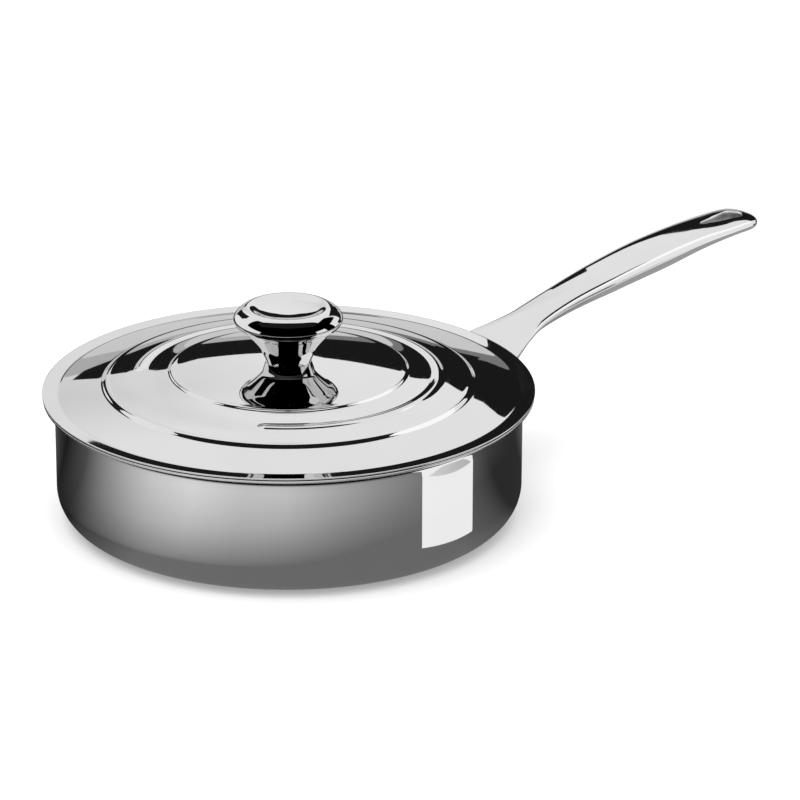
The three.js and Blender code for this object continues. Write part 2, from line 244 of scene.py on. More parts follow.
def arc(centre, radius, start, stop, count):
    """Points (radius, height) of an arc between two angles in degrees."""
    a = np.radians(np.linspace(start, stop, count))
    return np.stack([centre[0] + radius * np.cos(a), centre[1] + radius * np.sin(a)], -1)


def line(start, stop, count):
    """Evenly spaced points of a straight line."""
    return np.linspace(start, stop, count)


def rounded(corners, radius, steps=7):
    """A closed outline with each corner cut back by a length and joined by a parabola:
    (1 - t)^2 A + 2 t (1 - t) C + t^2 B, for the corner C between the cut points A and B."""
    c = np.asarray(corners, float)
    radius = np.broadcast_to(radius, len(c))[:, None]
    to_last = np.roll(c, 1, 0) - c
    to_next = np.roll(c, -1, 0) - c
    a = c + to_last / np.linalg.norm(to_last, axis=1, keepdims=True) * radius
    b = c + to_next / np.linalg.norm(to_next, axis=1, keepdims=True) * radius
    t = np.linspace(0, 1, steps)[None, :, None]
    curve = (1 - t) ** 2 * a[:, None] + 2 * t * (1 - t) * c[:, None] + t**2 * b[:, None]
    return curve.reshape(-1, 2)


def spline(points, parameter, power=0.5):
    """A curve through every point, by the Catmull-Rom rule with knots spaced by distance to a power.
    The parameter runs from 0 at the first point to 1 at the last, the same span for each piece."""
    p = np.asarray(points, float)
    p = np.concatenate([2 * p[:1] - p[1:2], p, 2 * p[-1:] - p[-2:-1]])
    place = np.asarray(parameter) * (len(p) - 3)
    i = np.clip(place.astype(int), 0, len(p) - 4)
    w = (place - i)[:, None]
    p0, p1, p2, p3 = p[i], p[i + 1], p[i + 2], p[i + 3]
    d0, d1, d2 = (
        np.maximum(np.linalg.norm(b - a, axis=1, keepdims=True), LEAST_DISTANCE) ** power
        for a, b in ((p0, p1), (p1, p2), (p2, p3))
    )
    m1 = ((p1 - p0) / d0 - (p2 - p0) / (d0 + d1) + (p2 - p1) / d1) * d1
    m2 = ((p2 - p1) / d1 - (p3 - p1) / (d1 + d2) + (p3 - p2) / d2) * d1
    return (
        (2 * w**3 - 3 * w**2 + 1) * p1
        + (w**3 - 2 * w**2 + w) * m1
        + (3 * w**2 - 2 * w**3) * p2
        + (w**3 - w**2) * m2
    )


def turned(profile, segments):
    """A profile of (radius, height) turned about Z: at angle a its point is (r cos a, r sin a, z)."""
    a = np.linspace(0, 2 * np.pi, segments + 1)
    r, z = profile[:, :1], profile[:, 1:]
    return np.stack([r * np.cos(a), r * np.sin(a), z + 0 * a], -1)


def closed(profile):
    """The profile with its first point again at its end."""
    return np.concatenate([profile, profile[:1]])


def weld(patches):
    """One mesh from grids of points: each grid's cells are its faces, points that fall together become
    one, and cells that lose a corner become triangles. Faces are turned to give a positive volume.
    The last thing returned is each face's grid."""
    points = np.concatenate([patch.reshape(-1, 3) for patch in patches])
    cells = []
    start = 0
    for patch in patches:
        rows, columns = patch.shape[:2]
        index = start + np.arange(rows * columns).reshape(rows, columns)
        start += rows * columns
        corners = (index[:-1, :-1], index[:-1, 1:], index[1:, 1:], index[1:, :-1])
        cells.append(np.stack(corners, -1).reshape(-1, 4))
    keys = np.floor(points / WELD + WELD_SHIFT).astype(np.int64)
    _, first, place = np.unique(keys, axis=0, return_index=True, return_inverse=True)
    points = points[first]
    owner = np.repeat(np.arange(len(cells)), [len(part) for part in cells])
    cells = place.reshape(-1)[np.concatenate(cells)]
    same = cells == np.roll(cells, -1, 1)
    whole, pinched = ~same.any(1), same.sum(1) == 1
    quads, thin = cells[whole], cells[pinched]
    lost = same[pinched].argmax(1)
    keep = (lost[:, None] + np.arange(1, 4)) % 4
    triangles = np.take_along_axis(thin, keep, 1)
    fan = np.concatenate([quads[:, [0, 1, 2]], quads[:, [0, 2, 3]], triangles])
    a, b, c = points[fan[:, 0]], points[fan[:, 1]], points[fan[:, 2]]
    if np.einsum("ij,ij->", a, np.cross(b, c)) < 0:
        quads, triangles = quads[:, ::-1], triangles[:, ::-1]
    return points, quads.tolist() + triangles.tolist(), np.concatenate([owner[whole], owner[pinched]])


def add_piece(name, patches, material, body, nodes, last_material=None):
    """A smooth mesh object made of grids, which rides on a body and stands for CAD nodes. Its last grid
    may have a material of its own."""
    points, faces, owner = weld(patches)
    mesh = bpy.data.meshes.new(name)
    mesh.from_pydata(points.tolist(), [], faces)
    mesh.shade_smooth()
    mesh.materials.append(material)
    if last_material:
        mesh.materials.append(last_material)
        mesh.polygons.foreach_set("material_index", (owner == len(patches) - 1).astype(np.int32))
    if mesh.validate():
        raise RuntimeError(f"{name} has faces that Blender had to repair")
    piece = bpy.data.objects.new(name, mesh)
    bpy.context.scene.collection.objects.link(piece)
    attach(piece, body)
    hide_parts(*nodes)


# Materials


def blank_material(name):
    """A material whose node tree is empty."""
    material = bpy.data.materials.new(name)
    material.use_nodes = True
    material.node_tree.nodes.clear()
    return material


def put(tree, kind, inputs=None, stops=(), **settings):
    """Adds a node with its settings, and sets or links its inputs. Stops are for a colour ramp: places
    from 0 to 1, each with its grey."""
    node = tree.nodes.new(kind)
    for name, value in settings.items():
        setattr(node, name, value)
    for name, value in (inputs or {}).items():
        if isinstance(value, bpy.types.NodeSocket):
            tree.links.new(value, node.inputs[name])
        else:
            node.inputs[name].default_value = value
    for _ in stops[2:]:
        node.color_ramp.elements.new(0.5)
    for number, (place, grey) in enumerate(stops):
        element = node.color_ramp.elements[number]
        element.position = place
        element.color = (grey, grey, grey, 1)
    return node


def buffed_metal(name, light, deep, gloss, line_spacing, across, line_depth, dark=None):
    """A polished metal: mirror-like, with fine buffing lines that dull it a little and show as thin
    streaks. Lines run where the weights of radius, X, Y and Z in across stay the same.

    gloss is the least and greatest roughness, line_spacing and line_depth are in millimetres. Between the
    two heights in dark the steel is painted near-black: painted shade that stands for a shadow line."""
    material = blank_material(name)
    tree = material.node_tree
    place = put(tree, "ShaderNodeTexCoord").outputs["Object"]
    axes = put(tree, "ShaderNodeSeparateXYZ", {0: place}).outputs
    flat = put(tree, "ShaderNodeVectorMath", {0: place, 1: (1, 1, 0)}, operation="MULTIPLY").outputs[0]
    radius = put(tree, "ShaderNodeVectorMath", {0: flat}, operation="LENGTH").outputs["Value"]
    total = None
    for weight, source in zip(across, (radius, axes[0], axes[1], axes[2])):
        if weight:
            inputs = {0: source, 1: weight / (line_spacing * MM), 2: total or 0.0}
            total = put(tree, "ShaderNodeMath", inputs, operation="MULTIPLY_ADD").outputs[0]
    slowed = {0: place, "Scale": 1 / (STREAK_LENGTH * MM)}
    drift = put(tree, "ShaderNodeVectorMath", slowed, operation="SCALE").outputs[0]
    slow = put(tree, "ShaderNodeSeparateXYZ", {0: drift}).outputs
    lines_at = put(tree, "ShaderNodeCombineXYZ", {0: slow[0], 1: slow[1], 2: total}).outputs[0]
    streaks = {"Vector": lines_at, "Scale": 1.0, "Detail": 3.0}
    lines = put(tree, "ShaderNodeTexNoise", streaks).outputs["Fac"]
    patches = {"Vector": drift, "Scale": 1.0, "Detail": 2.0}
    cloud = put(tree, "ShaderNodeTexNoise", patches).outputs["Fac"]
    shades = {"Factor": cloud, 6: tuple(light), 7: tuple(deep)}
    tint = put(tree, "ShaderNodeMix", shades, data_type="RGBA").outputs[2]
    # Painted shade: between the two heights the colour turns near-black, standing for shade that falls
    # there.
    if dark:
        band = {0: axes[2], 1: (dark[0] + dark[1]) / 2, 2: (dark[1] - dark[0]) / 2}
        painted_shade_mask = put(tree, "ShaderNodeMath", band, operation="COMPARE").outputs[0]
        painted_shade_mix = {"Factor": painted_shade_mask, 6: tint, 7: linear(PAINTED_SHADE_STEEL)}
        tint = put(tree, "ShaderNodeMix", painted_shade_mix, data_type="RGBA").outputs[2]
    from_to = dict(zip(("From Min", "From Max", "To Min", "To Max"), (*NOISE_RANGE, *gloss)))
    rough = put(tree, "ShaderNodeMapRange", {"Value": lines, **from_to}).outputs["Result"]
    relief = {"Height": lines, "Strength": 0.5, "Distance": line_depth * MM}
    bump = put(tree, "ShaderNodeBump", relief).outputs["Normal"]
    finish = {"Base Color": tint, "Metallic": 1.0, "Roughness": rough, "Normal": bump}
    metal = put(tree, "ShaderNodeBsdfPrincipled", finish)
    put(tree, "ShaderNodeOutputMaterial", {"Surface": metal.outputs[0]})
    return material


def mirror_steel(context, name, across, dark=None):
    """Deep-drawn stainless steel, buffed to a mirror: clear reflections with faint streaks, and painted
    shade between the heights in dark.
    """
    f = group(context, "finishes")
    return buffed_metal(
        name, f.polished, f.polished_deep, MIRROR_GLOSS, BUFFING_SPACING, across, MIRROR_RELIEF, dark
    )


# Pan


def pan_thickness(pan):
    """Thickness of the three plies with their bonds."""
    return pan.outer_ply + pan.core_ply + pan.inner_ply + 2 * pan.bond


def rim_radius(pan):
    """Radius of the pouring rim's edge."""
    return pan.wall_radius + pan.flare_radius + pan.rim_ledge


def pan_skin(pan, depth):
    """Profile of the surface at a depth inside the pan's outer face, from the axis to the rim's edge:
    a flat, a quarter circle, a straight wall, a quarter circle the other way and a flat ledge. The
    ledge ends on the rounded edge, which falls back by the fourth power of the distance from mid
    sheet."""
    thickness = pan_thickness(pan)
    wall_foot = pan.wall_radius - pan.wall_lean
    corner = (wall_foot - pan.corner_radius, pan.corner_radius)
    flare = (pan.wall_radius + pan.flare_radius, pan.rim_top - thickness - pan.flare_radius)
    height = pan.rim_top - thickness + depth
    edge = rim_radius(pan) - pan.edge_bulge * (2 * depth / thickness - 1) ** 4
    bend = arc(corner, pan.corner_radius - depth, -90, 0, 25)
    lip = arc(flare, pan.flare_radius + depth, 180, 90, 17)
    return np.concatenate(
        [
            line((0, depth), bend[0], 12)[:-1],
            bend,
            line(bend[-1], lip[0], 14)[1:-1],
            lip,
            line(lip[-1], (edge, height), 5)[1:],
        ]
    )


class SAUTE_OT_pan(bpy.types.Operator):
    """Builds the pan's outer steel, aluminium core and inner steel."""

    bl_idname = "saute.pan"
    bl_label = "Pan"

    def execute(self, context):
        pan = group(context, "pan")
        f = group(context, "finishes")
        ledge = pan.rim_top - pan_thickness(pan)
        # Painted shade: a near-black band on the bend under the rim stands for the shadow line there, and
        # one on the inner steel's edge at the rim's top stands for the shade in the gap under the lid.
        painted_shadow_under_rim = (ledge - 3 * MM, ledge - 0.05 * MM)
        painted_gap_shade = (pan.rim_top - pan.inner_ply, pan.rim_top - 0.03 * MM)
        # Drawn stainless steel: a clear mirror with faint level streaks, with painted shade on the bend
        # under the rim.
        outer = mirror_steel(context, "stainless_steel_drawn_and_buffed", (0, 0, 0, 1), painted_shadow_under_rim)
        # Machined aluminium: a duller, bluer line along the rim's edge.
        core = buffed_metal(
            "aluminium_machined_edge", f.aluminium, f.aluminium_deep, (0.12, 0.2), 0.5, (1, 0, 0, 1), 0.002
        )
        # Turned stainless steel: rings that spread the light across them, with painted shade on its edge
        # at the rim's top.
        inner = buffed_metal(
            "stainless_steel_turned_satin",
            f.satin,
            f.satin_deep,
            (0.16, 0.34),
            0.8,
            (1, 0, 0, 1),
            0.003,
            painted_gap_shade,
        )
        core_from = pan.outer_ply + pan.bond
        inner_from = core_from + pan.core_ply + pan.bond
        plies = (
            ("pan_outside", 0, pan.outer_ply, outer, "polished_steel", "pan_outer_ply"),
            ("pan_core", core_from, pan.core_ply, core, "core_aluminium", "pan_core_ply"),
            ("pan_inside", inner_from, pan.inner_ply, inner, "satin_steel", "pan_inner_ply"),
        )
        for name, depth, thickness, material, slot, node in plies:
            out = pan_skin(pan, depth)
            back = pan_skin(pan, depth + thickness)[::-1]
            between = depth + thickness * np.linspace(0, 1, 9)[1:-1]
            edge = np.array([pan_skin(pan, level)[-1] for level in between])
            sheet = turned(np.concatenate([out, edge, back]), PAN_SEGMENTS)
            add_piece(name, [sheet], material, "pan", [node])
        return {"FINISHED"}


# Handle


TIP_JOIN = 6  # the arm's station where the rings round the hole begin
ARM_FREE = 40 * MM  # distance from the wall at which the handle has its full round section
CROWN_POWER = 2.8  # how square the upper half of the section is: 2 is an ellipse
CROWN_LIFT = 0.2  # share of the crown by which the skin stands over the spine
FOOT_POWER = 6  # the same for the lower half, at the wall and along the arm
BELLY_POWER = 2.5
TANGENT_STEP = 1e-4  # share of the spine over which its direction is taken
RIVET_PROUD = 0.2 * MM  # how far a head's dome begins from the wall's inner face
RIVET_HEAD_SINK = 0.4 * MM  # how far the rims of head and tail go into what they hold
RIVET_TAIL_SINK = 0.6 * MM


def handle_stations(handle):
    """Stations along the handle's upper face: distance from the wall, height over the rim's top, half
    width and depth. The tip keeps its width here, and its rounding is worked out apart. Also the number
    of the station where the tip begins."""
    h = handle
    bend_top = -h.foot_bend_drop
    bend_foot = bend_top - h.foot_bend
    tip_start = h.tip_reach - h.tip_rounding
    foot = [
        (h.wall_gap, -h.foot_drop, h.foot_end_half_width, h.foot_thickness),
        (h.wall_gap, -h.foot_drop + 3 * MM, h.foot_end_half_width + 6 * MM, h.foot_thickness),
        (h.wall_gap, (bend_foot - h.foot_drop) / 2, h.foot_half_width - 4 * MM, h.foot_thickness),
        (h.wall_gap, bend_foot, h.foot_half_width, h.foot_thickness),
        (
            h.wall_gap + h.foot_bend * 0.28,
            bend_top - h.foot_bend * 0.34,
            h.foot_half_width + 0.6 * MM,
            h.foot_thickness,
        ),
        (
            h.wall_gap + h.foot_bend,
            bend_top + h.foot_bend * 0.06,
            h.foot_half_width - 0.8 * MM,
            h.foot_thickness,
        ),
    ]
    arm = [
        (17.5 * MM, -4.8 * MM, 21.4 * MM, h.foot_thickness - 1.2 * MM),
        (27.5 * MM, -0.3 * MM, 16.7 * MM, h.foot_thickness - 1.5 * MM),
        (39.5 * MM, 5 * MM, h.neck_half_width + 0.3 * MM, h.foot_thickness + 1.2 * MM),
        (60.5 * MM, 11.8 * MM, h.neck_half_width, h.neck_depth),
        (89.5 * MM, 18.9 * MM, h.grip_half_width - 1 * MM, h.belly_depth - 1.2 * MM),
        (122.5 * MM, 25.3 * MM, h.grip_half_width, h.belly_depth),
        (152.5 * MM, 28.8 * MM, h.grip_half_width - 0.2 * MM, (h.belly_depth + h.tip_depth) / 2),
        (h.tip_reach - 22 * MM, h.tip_rise, h.grip_half_width, h.tip_depth),
        (tip_start, h.tip_rise + 0.3 * MM, h.tip_half_width, h.tip_depth - 0.2 * MM),
    ]
    tip = [
        (
            tip_start + h.tip_rounding * share,
            h.tip_rise + (0.5 - share / 2) * MM,
            h.tip_half_width,
            h.tip_depth - (0.3 + share) * MM,
        )
        for share in (0.6, 0.88, 1)
    ]
    return np.array(foot + arm + tip), len(foot) + TIP_JOIN


def handle_section(pan, handle, along, across_share, level_share, upper):
    """Points of the handle's skin. Along the spine a section lies square to it. Its upper part rises by
    the crown times (1 - q^p)^(1/p), and its lower part falls by the rest times the same with a power of
    its own, for the share q of the half width. At the wall the section is flat and bent to the wall's
    circle."""
    stations, _ = handle_stations(handle)
    spine = spline(stations[:, :2], along)
    ahead = spline(stations[:, :2], np.minimum(along + TANGENT_STEP, 1))
    behind = spline(stations[:, :2], np.maximum(along - TANGENT_STEP, 0))
    tangent = ahead - behind
    tangent /= np.linalg.norm(tangent, axis=1, keepdims=True)
    extent = spline(stations[:, 2:], along)
    on_arm = smooth(handle.wall_gap, ARM_FREE, spine[:, 0])
    depth = extent[:, 1] + handle.crown_height * on_arm
    crown = handle.crown_share * depth * on_arm
    q = np.clip(level_share, 0, 1)
    if upper:
        level = crown * ((1 - q**CROWN_POWER) ** (1 / CROWN_POWER) - 1)
    else:
        power = FOOT_POWER - (FOOT_POWER - BELLY_POWER) * on_arm
        level = -crown - (depth - crown) * (1 - q**power) ** (1 / power)
    level = level + CROWN_LIFT * crown
    across = extent[:, 0] * across_share
    wrap = (np.sqrt(pan.wall_radius**2 - across**2) - pan.wall_radius) * (1 - on_arm)
    return np.stack(
        [
            pan.wall_radius + spine[:, 0] - tangent[:, 1] * level + wrap,
            across,
            pan.rim_top + spine[:, 1] + tangent[:, 0] * level,
        ],
        -1,
    )


def reach_along(centre, outline, angles):
    """Distance from a centre to a closed outline in each direction."""
    offset = outline - centre
    bearing = np.arctan2(offset[:, 1], offset[:, 0])
    order = np.argsort(bearing)
    return np.interp(angles, bearing[order], np.hypot(*offset[order].T), period=2 * np.pi)


def hole_outline(handle):
    """Outline of the hanging hole in (distance from the wall, across): two circles and their tangents."""
    end_radius = handle.hole_width / 2
    point_radius = handle.hole_point_radius
    end = handle.tip_reach - handle.hole_end_wall - end_radius
    point = end + end_radius - handle.hole_length + point_radius
    lean = math.degrees(math.acos((end_radius - point_radius) / (end - point)))
    big = arc((end, 0), end_radius, lean - 180, 180 - lean, 161)
    small = arc((point, 0), point_radius, 180 - lean, 180 + lean, 61)
    sides = [line(big[-1], small[0], 80), line(small[-1], big[0], 80)]
    return np.concatenate([big, sides[0][1:-1], small, sides[1][1:-1]]), (end + point) / 2


def handle_tip(pan, handle, shares, join):
    """The handle's end as rings round the hanging hole. A ring's point lies between the hole's edge and
    the handle's outline in one direction from the hole's middle. Its level follows the share
    sqrt((y / half width)^2 + s^3), with s the share of the rounded end, which is 1 on the outline.
    The hole's edges are quarter circles."""
    stations, _ = handle_stations(handle)
    fine = np.linspace(join, 1, 2001)
    reach = spline(stations[:, :2], fine)[:, 0]
    half = spline(stations[:, 2:], fine)[:, 0]
    tip_start = handle.tip_reach - handle.tip_rounding
    rounding = np.clip((reach - tip_start) / handle.tip_rounding, 0, 1) ** 3
    side = half * np.sqrt(1 - rounding)
    outline = np.concatenate([np.stack([reach, side], -1), np.stack([reach, -side], -1)[-2::-1]])
    run = np.concatenate([[0], np.cumsum(np.hypot(*np.diff(outline, axis=0).T))])
    even = np.linspace(0, run[-1], 221)
    rim = np.stack([np.interp(even, run, outline[:, 0]), np.interp(even, run, outline[:, 1])], -1)
    inner_end = np.stack([np.full(len(shares), reach[0]), -shares * half[0]], -1)
    rim = np.concatenate([rim, inner_end[1:]])
    hole, middle = hole_outline(handle)
    centre = np.array([middle, 0])
    angles = np.arctan2(rim[:, 1], rim[:, 0] - middle)
    way = np.stack([np.cos(angles), np.sin(angles)], -1)
    hole_edge = centre + way * reach_along(centre, hole, angles)[:, None]
    s = (0.5 - 0.5 * np.cos(np.linspace(0, np.pi, 49)))[:, None, None]
    plan = hole_edge * (1 - s) + rim * s
    gap = np.linalg.norm(plan - hole_edge, axis=-1)
    fillet = handle.hole_edge
    drop = fillet - np.sqrt(np.maximum(fillet**2 - (fillet - np.minimum(gap, fillet)) ** 2, 0))
    flat = plan.reshape(-1, 2)
    along = np.interp(flat[:, 0], reach, fine)
    width = np.interp(flat[:, 0], reach, half)
    end_share = np.clip((flat[:, 0] - tip_start) / handle.tip_rounding, 0, 1)
    share = flat[:, 1] / width
    level = np.sqrt(share**2 + end_share**3)
    sheets = []
    for upper in (True, False):
        skin = handle_section(pan, handle, along, share, level, upper).reshape(*plan.shape[:2], 3)
        skin[..., 2] += -drop if upper else drop
        sheets.append(skin)
    wall = sheets[0][0] + np.linspace(0, 1, 7)[:, None, None] * (sheets[1][0] - sheets[0][0])
    return [*sheets, wall]


class SAUTE_OT_handle(bpy.types.Operator):
    """Builds the cast handle: its foot on the wall, its arm and its tip with the hanging hole."""

    bl_idname = "saute.handle"
    bl_label = "Handle"

    def execute(self, context):
        pan = group(context, "pan")
        handle = group(context, "handle")
        f = group(context, "finishes")
        stations, join_station = handle_stations(handle)
        join = join_station / (len(stations) - 1)
        turn = np.linspace(0, np.pi, 65)
        shares = np.sign(np.cos(turn)) * np.sqrt(np.abs(np.cos(turn)))
        shares[[0, -1]] = 1, -1
        rings = np.linspace(0, join, 241)
        along, share = (grid.ravel() for grid in np.meshgrid(rings, shares, indexing="ij"))
        shape = (len(rings), len(shares), 3)
        sheets = [
            handle_section(pan, handle, along, share, np.abs(share), upper).reshape(shape)
            for upper in (True, False)
        ]
        cap = np.stack([sheets[0][0], sheets[1][0]])
        # Investment-cast stainless steel, polished by hand: long soft streaks along the handle.
        material = buffed_metal(
            "stainless_steel_cast_and_polished",
            f.polished,
            f.polished_deep,
            (0.03, 0.06),
            BUFFING_SPACING,
            (0, 0, 1, 0.6),
            0.0002,
        )
        # The same casting as it leaves the abrasive cord inside the hole: even and soft.
        bore = buffed_metal(
            "stainless_steel_cast_satin", f.polished, f.satin_deep, (0.22, 0.34), 0.8, (0, 0, 0, 1), 0.001
        )
        patches = [*sheets, cap, *handle_tip(pan, handle, shares, join)]
        add_piece("handle_casting", patches, material, "pan", ["handle"], bore)
        return {"FINISHED"}


class SAUTE_OT_rivets(bpy.types.Operator):
    """Builds the rivets that hold the handle, each turned about its own outward line."""

    bl_idname = "saute.rivets"
    bl_label = "Rivets"

    def execute(self, context):
        pan = group(context, "pan")
        h = group(context, "handle")
        f = group(context, "finishes")
        # Upset stainless steel: small polished domes.
        material = buffed_metal(
            "stainless_steel_rivet_polished", f.polished, f.satin, (0.08, 0.16), 0.6, (0, 1, 1, 1), 0.001
        )
        head_seat = pan.wall_radius - pan_thickness(pan)
        tail_seat = pan.wall_radius + h.wall_gap + h.foot_thickness
        bow = np.linspace(0, np.pi / 2, 15)
        head_level = head_seat - RIVET_PROUD - h.rivet_head_height * np.cos(bow)
        head = np.stack([h.rivet_head_radius * np.sin(bow), head_level], -1)
        tail_level = tail_seat + h.rivet_tail_height * np.sin(bow)
        tail = np.stack([h.rivet_tail_radius * np.cos(bow), tail_level], -1)
        shank = [
            (h.rivet_head_radius, head_seat + RIVET_HEAD_SINK),
            (h.rivet_shank_radius, head_seat + RIVET_HEAD_SINK),
            (h.rivet_shank_radius, tail_seat - RIVET_TAIL_SINK),
            (h.rivet_tail_radius, tail_seat - RIVET_TAIL_SINK),
        ]
        body = turned(np.concatenate([head, shank, tail]), SMALL_SEGMENTS)
        places = (
            (h.rivet_spread, pan.rim_top - h.upper_rivet_drop),
            (-h.rivet_spread, pan.rim_top - h.upper_rivet_drop),
            (0, pan.rim_top - h.lower_rivet_drop),
        )
        for number, (side, height) in enumerate(places, 1):
            a = math.asin(side / pan.wall_radius)
            out = np.array((math.cos(a), math.sin(a), 0))
            beside = np.array((-math.sin(a), math.cos(a), 0))
            placed = body[..., 2:] * out + body[..., :1] * beside
            placed[..., 2] += body[..., 1] + height
            name = f"handle_rivet_{number}"
            add_piece(f"{name}_turned", [placed], material, "pan", [name])
        return {"FINISHED"}


# Lid

BEAD_INSET = 0.3 * MM  # of a bead's crest from the head of its step
FINE_BAND = 15 * MM  # width along the lid's edge that has the closest rings
EDGE_POWER = 0.2  # how square the sheet's edge is: 1 is a half circle
RING_CORNER = 0.25 * MM  # rounding of the washer's edges
SCREW_CHAMFER = 0.5 * MM  # of the screw's end
SOCKET_LAND = 0.3 * MM  # from the socket to the first ring of the head's face
BROW = 0.35  # share of the screw head's height that is rounded


def ring_rise(outer, inner, dome):
    """How far a dome of a radius rises between two distances from its axis."""
    return (outer**2 - inner**2) / (2 * dome)


def lid_radii(pan, lid):
    """Radii of the lid's edge, groove, steps and ridge, worked out from the pan's mouth inwards."""
    groove_outer = pan.wall_radius + pan.flare_radius - lid.mouth_clearance
    groove_inner = groove_outer - lid.groove_width
    outer_foot = groove_inner - lid.outer_field
    outer_head = outer_foot - lid.outer_step_run
    inner_foot = outer_head - lid.inner_field
    return {
        "edge": rim_radius(pan) + lid.overhang,
        "groove_inner": groove_inner,
        "outer_foot": outer_foot,
        "outer_head": outer_head,
        "ridge": outer_head - lid.ridge_inset,
        "inner_foot": inner_foot,
        "inner_head": inner_foot - lid.inner_step_run,
    }


def hump(distance, reach):
    """A squared cosine: 1 in the middle, 0 and level at the reach on each side."""
    return np.cos(np.pi / 2 * np.clip(distance / reach, -1, 1)) ** 2


def lid_height(pan, lid, r, a):
    """Height of the lid's upper face at radius r and angle a: the higher of a domed ring and a flange
    that rises to its edge, blended as (A + B) / 2 + sqrt(((A - B) / 2)^2 + e^2), a cone that swings a
    little, two steps that rise as smooth ramps with a small bead at their heads, a domed middle with a
    flat seat, and a ridge. Beads and ridge are squared cosines of the distance from their lines."""
    at = lid_radii(pan, lid)
    border = at["groove_inner"]
    ring = ring_rise(border, np.clip(r, at["outer_foot"], border), lid.field_dome)
    ring = ring - np.maximum(r - border, 0) * border / lid.field_dome
    flange = (r - at["edge"] + lid.seat_inset) * math.tan(lid.flange_slope)
    apart = (ring - flange) / 2
    z = pan.rim_top + lid.sheet + flange + apart + np.hypot(apart, lid.valley_rounding)
    z = z + lid.outer_step_rise * smooth(at["outer_foot"], at["outer_head"], r)
    share = np.clip((at["outer_head"] - r) / lid.inner_field, 0, 1)
    z = z + ring_rise(at["outer_head"], at["inner_foot"], lid.field_dome) * share
    z = z + lid.inner_field_wave * np.sin(2 * np.pi * share)
    z = z + lid.inner_step_rise * smooth(at["inner_foot"], at["inner_head"], r)
    z = z + ring_rise(at["inner_head"], np.clip(r, lid.knob_seat, at["inner_head"]), lid.plateau_dome)
    for head in (at["outer_head"], at["inner_head"]):
        z = z + lid.bead_height * hump(r - head + BEAD_INSET, lid.bead_half_width)
    from_middle = a - lid.ridge_start - lid.ridge_sweep / 2
    from_middle = np.abs((from_middle + np.pi) % (2 * np.pi) - np.pi)
    past_end = at["ridge"] * np.maximum(from_middle - lid.ridge_sweep / 2, 0)
    beside = r - at["ridge"]
    beside = beside / np.where(beside > 0, lid.ridge_outer_run, lid.ridge_inner_run)
    return z + lid.ridge_height * hump(np.hypot(beside, past_end / lid.ridge_outer_run), 1)


class SAUTE_OT_lid(bpy.types.Operator):
    """Builds the pressed lid with its flange, groove, steps and ridge."""

    bl_idname = "saute.lid"
    bl_label = "Lid"

    def execute(self, context):
        pan = group(context, "pan")
        lid = group(context, "lid")
        at = lid_radii(pan, lid)
        half = lid.sheet / 2
        flat_end = at["edge"] - half
        band = at["edge"] - FINE_BAND
        fine = np.concatenate(
            [
                np.linspace(lid.hole_radius, lid.knob_seat, 5),
                np.linspace(lid.knob_seat, at["inner_head"], 31)[1:],
                np.linspace(at["inner_head"], at["inner_foot"], 15)[1:],
                np.linspace(at["inner_foot"], at["outer_head"], 53)[1:],
                np.linspace(at["outer_head"], at["outer_foot"], 19)[1:],
                np.linspace(at["outer_foot"], band, 21)[1:],
                np.linspace(band, flat_end, 53)[1:],
            ]
        )
        coarse = fine[::-3]
        bow = np.linspace(np.pi / 2, -np.pi / 2, 21)[1:-1]
        a = np.linspace(0, 2 * np.pi, PAN_SEGMENTS + 1)
        rows = []
        for radii, offset in (
            (fine, 0 * fine),
            (flat_end + half * np.cos(bow) ** EDGE_POWER, half * np.sin(bow) - half),
            (coarse, 0 * coarse - lid.sheet),
            (fine[:1], 0 * fine[:1]),
        ):
            r = radii[:, None] + 0 * a
            z = lid_height(pan, lid, np.minimum(r, flat_end), a) + offset[:, None]
            rows.append(np.stack([r * np.cos(a), r * np.sin(a), z], -1))
        # Pressed stainless steel: a clear mirror with faint rings.
        material = mirror_steel(context, "stainless_steel_pressed_and_buffed", (1, 0, 0, 0))
        add_piece("lid_pressing", [np.concatenate(rows)], material, "lid", ["lid_shell"])
        return {"FINISHED"}


def knob_seat_height(pan, lid):
    """Height of the lid's flat seat under the knob."""
    return float(lid_height(pan, lid, np.array(0.0), np.array(0.0)))


class SAUTE_OT_knob(bpy.types.Operator):
    """Builds the knob: a flared stem under a round cap with a dished top."""

    bl_idname = "saute.knob"
    bl_label = "Knob"

    def execute(self, context):
        pan = group(context, "pan")
        lid = group(context, "lid")
        k = group(context, "knob")
        # The points between the named sizes follow the outline in the photograph.
        flank = [
            (k.foot_radius, 0),
            ((k.foot_radius + k.waist_radius) / 2, k.waist_height / 2),
            (k.waist_radius, k.waist_height),
            (k.under_radius, k.under_height),
            (k.cap_radius - 1.2 * MM, k.cap_height - 2.6 * MM),
            (k.cap_radius, k.cap_height),
            ((k.cap_radius + k.crest_radius) / 2 + 1.2 * MM, (k.cap_height + k.height) / 2 + 0.6 * MM),
            (k.crest_radius, k.height),
            (k.crest_radius * 0.72, k.height - k.dish_depth * 0.6),
            (k.crest_radius * 0.36, k.height - k.dish_depth * 0.93),
            (0, k.height - k.dish_depth),
        ]
        bore = [(0, k.bore_depth), (lid.hole_radius, k.bore_depth), (lid.hole_radius, 0)]
        curve = spline(flank, np.linspace(0, 1, 141))
        curve[-1, 0] = 0
        profile = np.concatenate([bore, curve]) + (0, knob_seat_height(pan, lid))
        # Turned stainless steel: a clear mirror with faint rings up the stem.
        material = mirror_steel(context, "stainless_steel_turned_and_buffed", (1, 0, 0, 1))
        knob = turned(profile, KNOB_SEGMENTS)
        add_piece("lid_knob_turned", [knob], material, "lid", ["lid_knob"])
        return {"FINISHED"}


